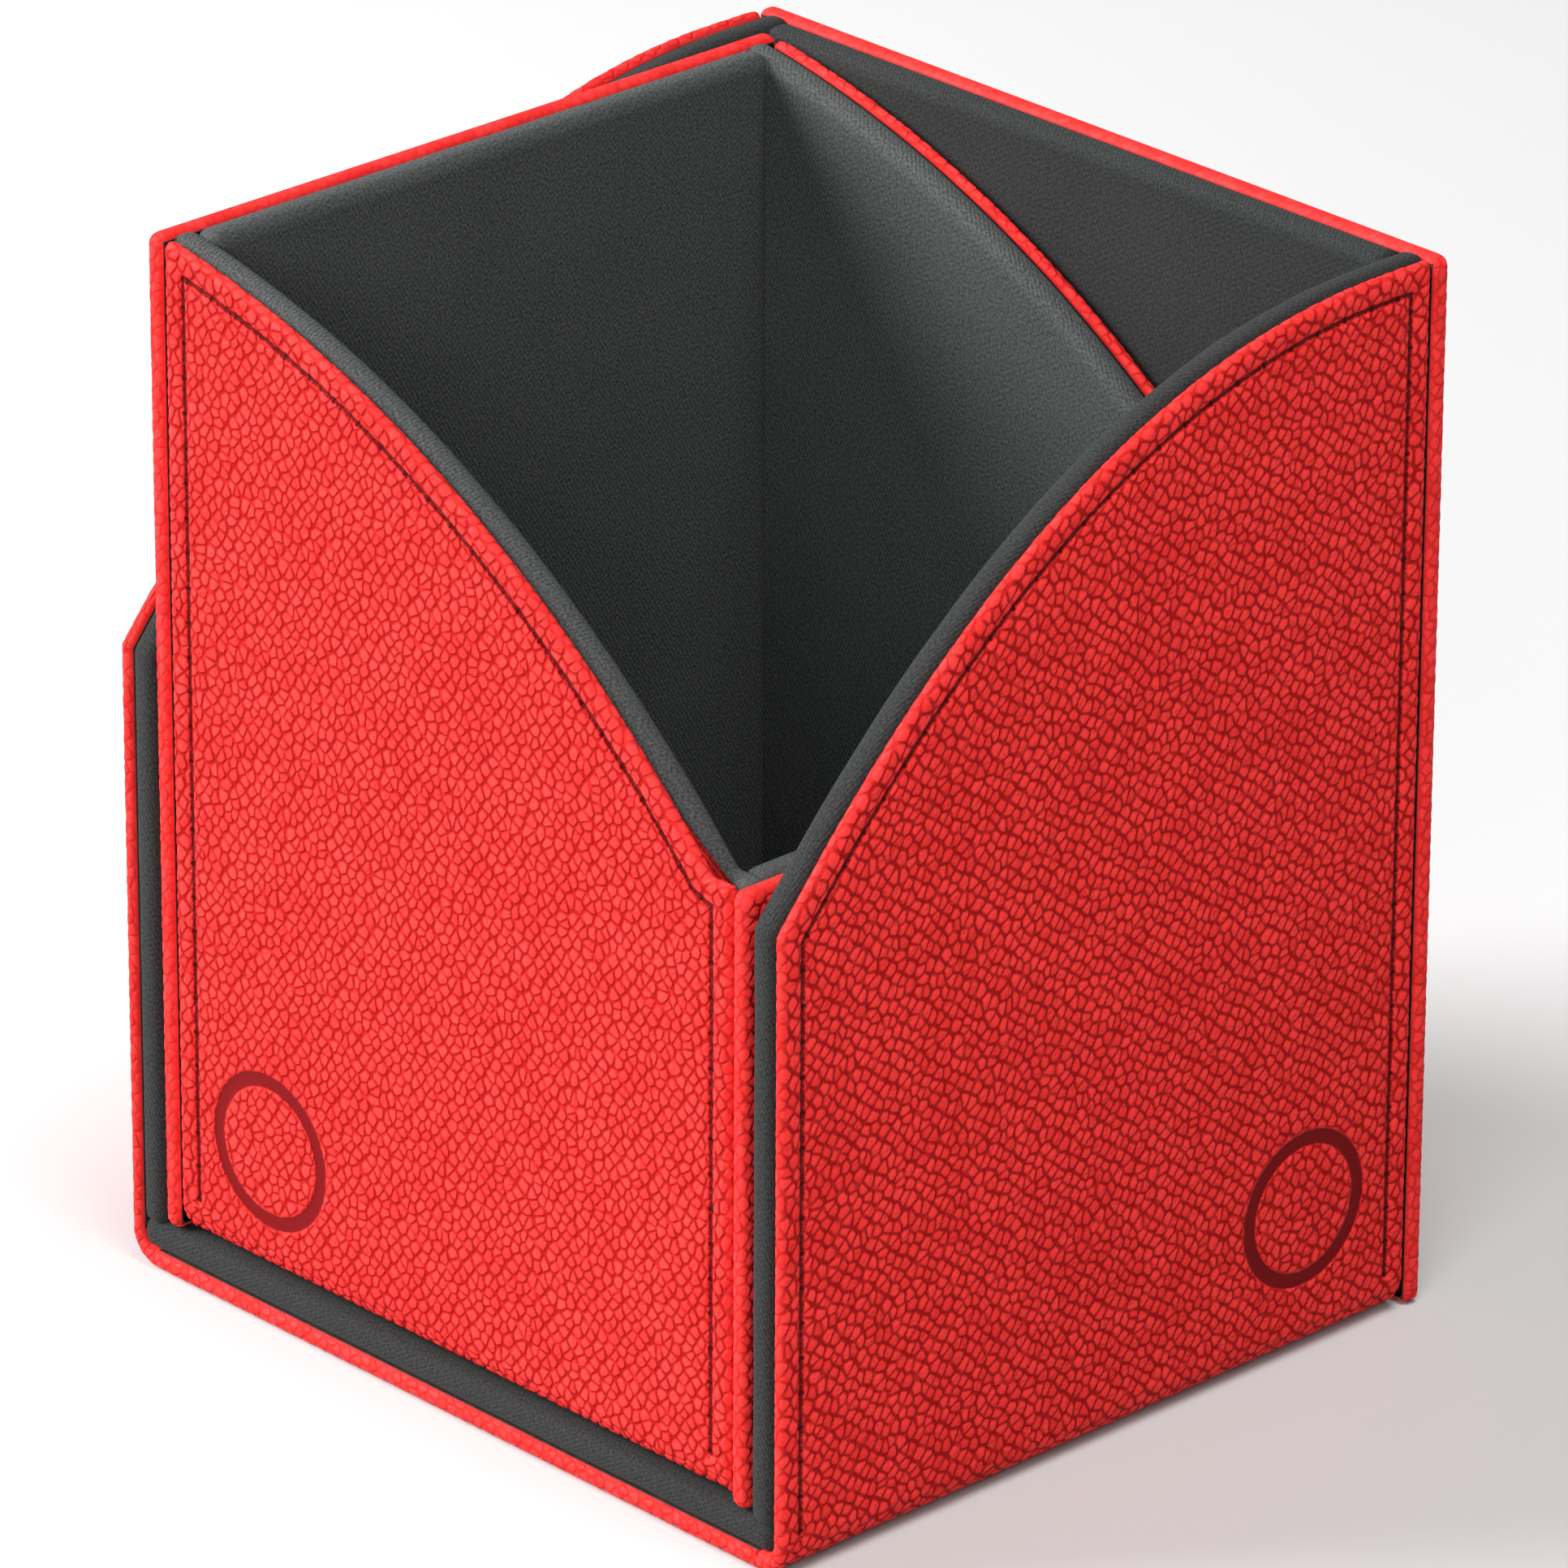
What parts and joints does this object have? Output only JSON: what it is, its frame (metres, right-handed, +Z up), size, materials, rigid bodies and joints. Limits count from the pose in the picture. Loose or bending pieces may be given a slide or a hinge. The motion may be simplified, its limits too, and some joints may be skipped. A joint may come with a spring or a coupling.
{
  "type": "card deck box",
  "caption": "Padded leather-covered deck box for standing cards: an open tray with one low wall, nested in a curved-sided lift-off lid.",
  "frame": {"origin": "bottom centre of the whole nested box, on the surface that it stands on", "axes": "+Z up; -Y is the lid's open side, where the tray's curved front shows; +X is the side of the tray's low wall, behind the lid's curved right side"},
  "size_m": [0.091, 0.0842, 0.1075],
  "materials": {
    "red_leather": "pebble-grained red synthetic leather, satin",
    "grey_lining": "dark grey brushed microfibre with a fine diagonal twill",
    "greyboard": "bookbinder's greyboard",
    "foam_padding": "thin stiff foam pad",
    "magnet_steel": "nickel-plated disc magnet",
    "red_thread": "twisted dark red polyester thread"
  },
  "bodies": {
    "lid": {"lid_side_wrap": "red_leather", "lid_high_wall_cover": "red_leather", "lid_left_board": "greyboard", "lid_right_board": "greyboard", "lid_base_board": "greyboard", "lid_high_wall_board": "greyboard", "lid_left_padding": "foam_padding", "lid_right_padding": "foam_padding", "lid_base_padding": "foam_padding", "lid_high_wall_padding": "foam_padding", "lid_left_lining": "grey_lining", "lid_right_lining": "grey_lining", "lid_base_lining": "grey_lining", "lid_high_wall_lining": "grey_lining", "lid_magnets": "magnet_steel", "lid_left_stitches": "red_thread", "lid_right_stitches": "red_thread"},
    "tray": {"tray_side_wrap": "red_leather", "tray_high_wall_cover": "red_leather", "tray_low_wall_cover": "red_leather", "tray_front_board": "greyboard", "tray_rear_board": "greyboard", "tray_base_board": "greyboard", "tray_high_wall_board": "greyboard", "tray_low_wall_board": "greyboard", "tray_front_padding": "foam_padding", "tray_rear_padding": "foam_padding", "tray_base_padding": "foam_padding", "tray_high_wall_padding": "foam_padding", "tray_low_wall_padding": "foam_padding", "tray_front_lining": "grey_lining", "tray_rear_lining": "grey_lining", "tray_base_lining": "grey_lining", "tray_high_wall_lining": "grey_lining", "tray_low_wall_lining": "grey_lining", "tray_magnets": "magnet_steel", "tray_front_stitches": "red_thread", "tray_rear_stitches": "red_thread"}
  },
  "joints": [
    {"name": "tray_lift", "type": "slide", "parent": "lid", "child": "tray", "axis": [0, 0, 1], "range_m": [0, 0.112]}
  ]
}
